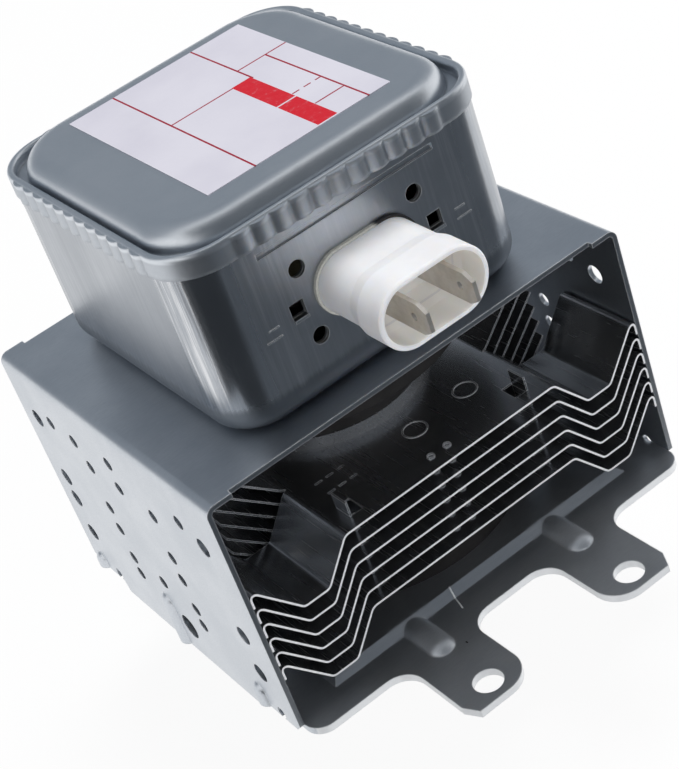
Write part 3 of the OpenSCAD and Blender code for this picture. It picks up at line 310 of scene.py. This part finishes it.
def fin_sheet():
    """Bright rolled aluminium with pale sheared edges and a duller drawn collar."""
    s = Shader("fin_sheet")
    roll = s.noise((1500.0, 60.0, 1500.0), 3.0, 0.5)
    burr = s.noise((700.0, 700.0, 2600.0), 3.0, 0.6)
    cloud = s.noise(90.0, 4.0, 0.6)
    sheared = s.ramp(s.size(s.y), FIN_FRONT - 0.07 * MM, FIN_FRONT - 0.02 * MM)
    collar = ANODE_RADIUS + 1.2 * MM
    flat = s.ramp(s.reach(s.x, s.y), collar, collar + 0.1 * MM)
    edge = s.most(sheared, s.times(flat, s.edge(0.22 * MM)))
    pale = s.mix(s.ramp(burr, 0.3, 0.7), (0.80, 0.81, 0.83), (0.96, 0.96, 0.97))
    colour = s.mix(s.ramp(cloud, 0.3, 0.7), (0.53, 0.54, 0.56), (0.58, 0.59, 0.61))
    colour = s.mix(s.ramp(roll, 0.4, 0.75, 0.0, 0.03), colour, (0.44, 0.45, 0.47))
    colour = s.mix(edge, colour, pale)
    metal = s.ramp(flat, 0.0, 1.0, 0.78, 0.97)
    s.set(base_color=colour, metallic=s.minus(metal, s.times(edge, 0.75)),
          roughness=s.plus(s.ramp(roll, 0.3, 0.7, 0.26, 0.275), s.times(edge, 0.2)),
          normal=s.bump(roll, 0.002, 0.03 * MM))
    return s.material


def paper_label():
    """Pale paper with printed rules and one solid band, and no words."""
    s = Shader("paper_label")
    fibre = s.noise(900.0, 5.0, 0.65)
    cloud = s.noise(60.0, 3.0, 0.5)
    rules = [
        (9.3, 9.7, 3.9, 27.0), (15.9, 16.3, -24.6, 9.6), (-9.1, -8.7, -24.6, 27.0),
        (9.5, 21.0, 9.4, 9.8), (-8.9, 5.1, 4.3, 4.7), (9.5, 16.1, -17.2, -16.8),
        (9.5, 11.1, -9.7, -9.3), (12.1, 13.7, -9.7, -9.3), (14.7, 15.9, -9.7, -9.3),
    ]
    ink = s.rect(*rules[0])
    for rule in rules[1:]:
        ink = s.most(ink, s.rect(*rule))
    band = s.minus(s.rect(5.1, 9.4, -24.2, 4.8), s.rect(5.1, 9.4, -11.05, -10.65), clamp=True)
    wear = s.ramp(fibre, 0.2, 0.45, 0.75, 1.0)
    colour = s.mix(s.ramp(cloud, 0.3, 0.7), (0.57, 0.555, 0.625), (0.62, 0.605, 0.67))
    colour = s.mix(s.times(ink, wear), colour, (0.30, 0.016, 0.034))
    colour = s.mix(s.times(band, wear), colour, (0.545, 0.008, 0.020))
    s.set(base_color=colour, roughness=s.ramp(fibre, 0.3, 0.7, 0.42, 0.55), specular_ior_level=0.4,
          normal=s.bump(fibre, 0.06, 0.03 * MM))
    return s.material


def white_plastic():
    """White moulded plastic; within the socket it is lighter and warmer, a painted glow added to the light
    that comes through the walls.
    """
    s = Shader("white_plastic")
    grain = s.noise(1800.0, 3.0, 0.6)
    cloud = s.noise(120.0, 4.0, 0.55)
    across = s.most(s.minus(s.size(s.x), 5.0 * MM), 0.0)
    radius = s.reach(across, s.minus(s.z, PLUG_Z))
    limit = s.ramp(s.y, -46.6 * MM, -46.4 * MM, 5.75 * MM, 5.15 * MM)
    glow_within = s.math("LESS_THAN", radius, limit)
    colour = s.mix(s.ramp(cloud, 0.3, 0.7), (0.77, 0.765, 0.78), (0.83, 0.825, 0.84))
    # Painted light: the socket's inner faces are lightened and given a faint glow.
    colour = s.mix(s.times(glow_within, 0.6), colour, (0.90, 0.88, 0.84))
    s.set(base_color=colour, roughness=s.ramp(grain, 0.3, 0.7, 0.34, 0.44),
          emission_color=(0.95, 0.93, 0.89), emission_strength=s.times(glow_within, 0.06),
          subsurface_weight=0.8, subsurface_radius=(0.6, 0.5, 0.4), subsurface_scale=3.0 * MM,
          normal=s.bump(s.plus(grain, cloud), 0.05, 0.05 * MM, s.rounded(0.25 * MM)))
    return s.material


def gasket_board():
    """Pale board of the flange at the plug's root, with painted shadow on one corner."""
    s = Shader("gasket_board")
    fibre = s.noise(1500.0, 4.0, 0.7)
    shadow_lean = s.plus(s.times(s.x, 0.7), s.times(s.minus(s.z, PLUG_Z), 0.7))
    colour = s.mix(s.ramp(fibre, 0.3, 0.7), (0.46, 0.46, 0.42), (0.58, 0.575, 0.53))
    # Painted shadow: the corner beside the plug goes near-black.
    colour = s.mix(s.ramp(shadow_lean, 6.4 * MM, 7.4 * MM), colour, (0.02, 0.02, 0.022))
    s.set(base_color=colour, roughness=s.ramp(fibre, 0.3, 0.7, 0.62, 0.78),
          normal=s.bump(fibre, 0.3, 0.08 * MM))
    return s.material


def tinned():
    """Dull tinned brass of the push-on tabs."""
    s = Shader("tinned")
    rub = s.noise((1800.0, 140.0, 1800.0), 4.0, 0.6)
    cloud = s.noise(220.0, 4.0, 0.6)
    colour = s.mix(s.ramp(cloud, 0.3, 0.7), (0.52, 0.49, 0.445), (0.66, 0.63, 0.585))
    colour = s.mix(s.times(s.edge(0.25 * MM), 0.6), colour, (0.80, 0.78, 0.74))
    s.set(base_color=colour, metallic=0.8, roughness=s.ramp(rub, 0.3, 0.7, 0.30, 0.46),
          normal=s.bump(rub, 0.15, 0.05 * MM, s.rounded(0.15 * MM)))
    return s.material


def ferrite():
    """Pressed and ground ceramic magnet: near-black, slightly pitted."""
    s = Shader("ferrite")
    pits = s.noise(1400.0, 5.0, 0.7)
    cloud = s.noise(110.0, 4.0, 0.6)
    colour = s.mix(s.ramp(cloud, 0.3, 0.7), (0.014, 0.0135, 0.0135), (0.026, 0.024, 0.024))
    s.set(base_color=colour, roughness=s.ramp(pits, 0.3, 0.7, 0.48, 0.68), specular_ior_level=0.3,
          normal=s.bump(pits, 0.25, 0.08 * MM, s.rounded(0.4 * MM)))
    return s.material


def copper():
    """Copper with faint tarnish."""
    s = Shader("copper")
    cloud = s.noise(140.0, 5.0, 0.65)
    grain = s.noise(2200.0, 3.0, 0.6)
    colour = s.mix(s.ramp(cloud, 0.32, 0.7), (0.62, 0.31, 0.18), (0.78, 0.45, 0.29))
    colour = s.mix(s.ramp(cloud, 0.62, 0.8, 0.0, 0.5), colour, (0.36, 0.19, 0.12))
    s.set(base_color=colour, metallic=1.0, roughness=s.ramp(grain, 0.3, 0.7, 0.26, 0.42),
          normal=s.bump(grain, 0.10, 0.04 * MM, s.rounded(0.2 * MM)))
    return s.material


def dark_copper():
    """Copper of the anode's outside, painted near-black as the shade it sits in under the yoke."""
    s = Shader("dark_copper")
    cloud = s.noise(120.0, 5.0, 0.65)
    grain = s.noise((300.0, 300.0, 2600.0), 3.0, 0.6)
    # Painted shade: the colour is kept near-black for the shade this part sits in.
    colour = s.mix(s.ramp(cloud, 0.32, 0.7), (0.11, 0.103, 0.10), (0.15, 0.14, 0.137))
    s.set(base_color=colour, metallic=0.85, roughness=s.ramp(grain, 0.3, 0.7, 0.30, 0.42),
          normal=s.bump(grain, 0.10, 0.04 * MM, s.rounded(0.2 * MM)))
    return s.material


def iron(name, low, high, rough):
    """Turned or pressed iron with fine rings of tool marks."""
    s = Shader(name)
    marks = s.noise((160.0, 160.0, 3800.0), 3.0, 0.6)
    cloud = s.noise(120.0, 4.0, 0.6)
    colour = s.mix(s.ramp(cloud, 0.3, 0.7), low, high)
    s.set(base_color=colour, metallic=1.0, roughness=s.ramp(marks, 0.3, 0.7, rough, rough + 0.12),
          normal=s.bump(marks, 0.12, 0.03 * MM, s.rounded(0.25 * MM)))
    return s.material


def ceramic():
    """Fired alumina, off-white with a pink cast."""
    s = Shader("ceramic")
    grain = s.noise(1600.0, 4.0, 0.6)
    cloud = s.noise(150.0, 3.0, 0.5)
    colour = s.mix(s.ramp(cloud, 0.3, 0.7), (0.72, 0.60, 0.58), (0.80, 0.69, 0.66))
    s.set(base_color=colour, roughness=s.ramp(grain, 0.3, 0.7, 0.42, 0.58),
          normal=s.bump(grain, 0.12, 0.05 * MM, s.rounded(0.25 * MM)))
    return s.material


def metal_mesh():
    """Knitted wire of the gasket."""
    s = Shader("metal_mesh")
    weave = s.spots(1500.0)
    cloud = s.noise(200.0, 3.0, 0.6)
    colour = s.mix(s.ramp(weave, 0.1, 0.5), (0.62, 0.62, 0.60), (0.16, 0.16, 0.155))
    colour = s.mix(s.ramp(cloud, 0.4, 0.7, 0.0, 0.3), colour, (0.42, 0.40, 0.36))
    s.set(base_color=colour, metallic=1.0, roughness=s.ramp(weave, 0.1, 0.5, 0.30, 0.55),
          normal=s.bump(weave, 0.6, 0.25 * MM))
    return s.material


def epoxy():
    """Cast epoxy of the capacitor block."""
    s = Shader("epoxy")
    cloud = s.noise(260.0, 4.0, 0.6)
    colour = s.mix(s.ramp(cloud, 0.3, 0.7), (0.42, 0.36, 0.22), (0.52, 0.46, 0.31))
    s.set(base_color=colour, roughness=s.ramp(cloud, 0.3, 0.7, 0.24, 0.36),
          normal=s.bump(cloud, 0.08, 0.1 * MM))
    return s.material


def dress():
    """Every CAD node takes the material of its slot, and the base plate takes its own."""
    looks = {
        "plated_sheet": plated_sheet(), "drawn_sheet": drawn_can(), "lid_sheet": lid_sheet(),
        "ferrite": ferrite(), "copper": copper(), "dark_copper": dark_copper(),
        "ceramic": ceramic(), "fin_sheet": fin_sheet(),
        "iron": iron("iron", (0.46, 0.46, 0.47), (0.58, 0.58, 0.59), 0.30),
        "refractory": iron("refractory", (0.26, 0.26, 0.28), (0.36, 0.36, 0.38), 0.42),
        "bright_cap": iron("bright_cap", (0.66, 0.67, 0.69), (0.76, 0.77, 0.79), 0.20),
        "metal_mesh": metal_mesh(), "paper": paper_label(), "white_plastic": white_plastic(),
        "gasket": gasket_board(), "tinned": tinned(), "epoxy": epoxy(),
    }
    for part in frame["record"]["subparts"]:
        mesh = nodes[part["node"]].data
        mesh.materials.clear()
        mesh.materials.append(looks[part["material_slot"]])
    nodes["base_plate"].data.materials[0] = plated_plate()


def strip(near, far):
    """Corners of a flat sheet between two edges, each given as two x places, y and z."""
    (near_0, near_1, near_y, near_z), (far_0, far_1, far_y, far_z) = near, far
    return [(near_0, near_y, near_z), (near_1, near_y, near_z), (far_1, far_y, far_z), (far_0, far_y, far_z)]


def sheet(name, corners):
    """A flat piece of the stage, and the empty node tree of its material."""
    mesh = bpy.data.meshes.new(name)
    mesh.from_pydata(corners, [], [tuple(range(len(corners)))])
    obj = bpy.data.objects.new(name, mesh)
    scene.collection.objects.link(obj)
    material = bpy.data.materials.new(name)
    mesh.materials.append(material)
    return obj, emptied(material)


def emptied(owner):
    """Node tree of a material or world, without its first nodes."""
    owner.use_nodes = True
    owner.node_tree.nodes.clear()
    return owner.node_tree


def glow(tree, kind, colour, strength):
    """An emission or background node."""
    node = tree.nodes.new(kind)
    node.inputs["Color"].default_value = (*colour, 1.0)
    node.inputs["Strength"].default_value = strength
    return node.outputs[0]


def blended(tree, share, first, second):
    """Mixes two shaders."""
    node = tree.nodes.new("ShaderNodeMixShader")
    for value, socket in zip((share, first, second), node.inputs):
        tree.links.new(value, socket)
    return node.outputs[0]


def show(tree, kind, surface):
    """Ends a node tree with its output node."""
    tree.links.new(surface, tree.nodes.new(kind).inputs["Surface"])


def seen_directly(tree):
    """1 for rays that show the background: from the camera, in a reflection or through glass."""
    path = tree.nodes.new("ShaderNodeLightPath")
    seen = path.outputs["Is Camera Ray"]
    for name in ("Is Glossy Ray", "Is Transmission Ray"):
        either = tree.nodes.new("ShaderNodeMath")
        either.operation = "MAXIMUM"
        tree.links.new(seen, either.inputs[0])
        tree.links.new(path.outputs[name], either.inputs[1])
        seen = either.outputs[0]
    return seen


def floor():
    """A wide pale floor that shows almost white and takes a faint shadow."""
    half = 6.0
    tree = sheet("floor", strip((-half, half, -half, FLOOR_Z), (-half, half, half, FLOOR_Z)))[1]
    diffuse = tree.nodes.new("ShaderNodeBsdfDiffuse")
    diffuse.inputs["Color"].default_value = (0.86, 0.86, 0.87, 1.0)
    white = glow(tree, "ShaderNodeEmission", (1.0, 1.0, 1.0), 1.0)
    share = tree.nodes.new("ShaderNodeMath")
    share.operation = "MULTIPLY"
    share.inputs[1].default_value = 0.93
    tree.links.new(seen_directly(tree), share.inputs[0])
    surface = blended(tree, share.outputs[0], diffuse.outputs[0], white)
    show(tree, "ShaderNodeOutputMaterial", surface)


def card(name, corners, level):
    """A studio card that shows only in reflections."""
    obj, tree = sheet(name, corners)
    obj.visible_camera = False
    obj.visible_diffuse = False
    obj.visible_shadow = False
    light = glow(tree, "ShaderNodeEmission", (0.88, 0.98, 1.1), level)
    show(tree, "ShaderNodeOutputMaterial", light)


def lamp(name, at, target, size, watts):
    """A round area lamp that doesn't show in reflections."""
    data = bpy.data.lights.new(name, "AREA")
    data.shape = "DISK"
    data.size = size
    data.energy = watts
    obj = bpy.data.objects.new(name, data)
    obj.location = at
    obj.rotation_euler = (Vector(target) - Vector(at)).to_track_quat("-Z", "Y").to_euler()
    obj.visible_glossy = False
    scene.collection.objects.link(obj)


def studio():
    """A white backdrop with softer light from it, three lamps and four cards."""
    scene.world = bpy.data.worlds.new("studio")
    tree = emptied(scene.world)
    light = glow(tree, "ShaderNodeBackground", (0.94, 0.97, 1.0), 0.38)
    white = glow(tree, "ShaderNodeBackground", (1.0, 1.0, 1.0), 1.0)
    show(tree, "ShaderNodeOutputWorld", blended(tree, seen_directly(tree), light, white))

    lamp("key", (0.35, 0.15, 1.2), (0.0, 0.0, 0.05), 0.7, 12.0)
    lamp("fill", (0.5, -0.9, 0.75), (0.0, 0.0, 0.03), 0.6, 1.6)
    lamp("front_low", (-0.1, -0.8, 0.22), (0.0, 0.0, 0.03), 0.35, 1.1)

    ground = FLOOR_Z + 0.4 * MM
    card("front_card", strip((-0.05, 1.4, -1.6, ground), (-0.05, 1.4, -0.075, ground)), 0.14)
    card("left_card", strip((-1.0, -0.05, -1.6, ground), (-0.9, -0.05, -0.05, ground)), 0.05)
    card("front_wall", strip((-1.2, 1.9, -1.6, 0.0), (-1.2, 1.9, -0.25, 1.8)), 0.125)
    card("back_sky", strip((-2.0, 2.4, 1.3, 0.24), (-2.0, 2.4, 0.25, 1.75)), 0.30)


place_camera()
dress()
floor()
studio()
bpy.context.view_layer.update()
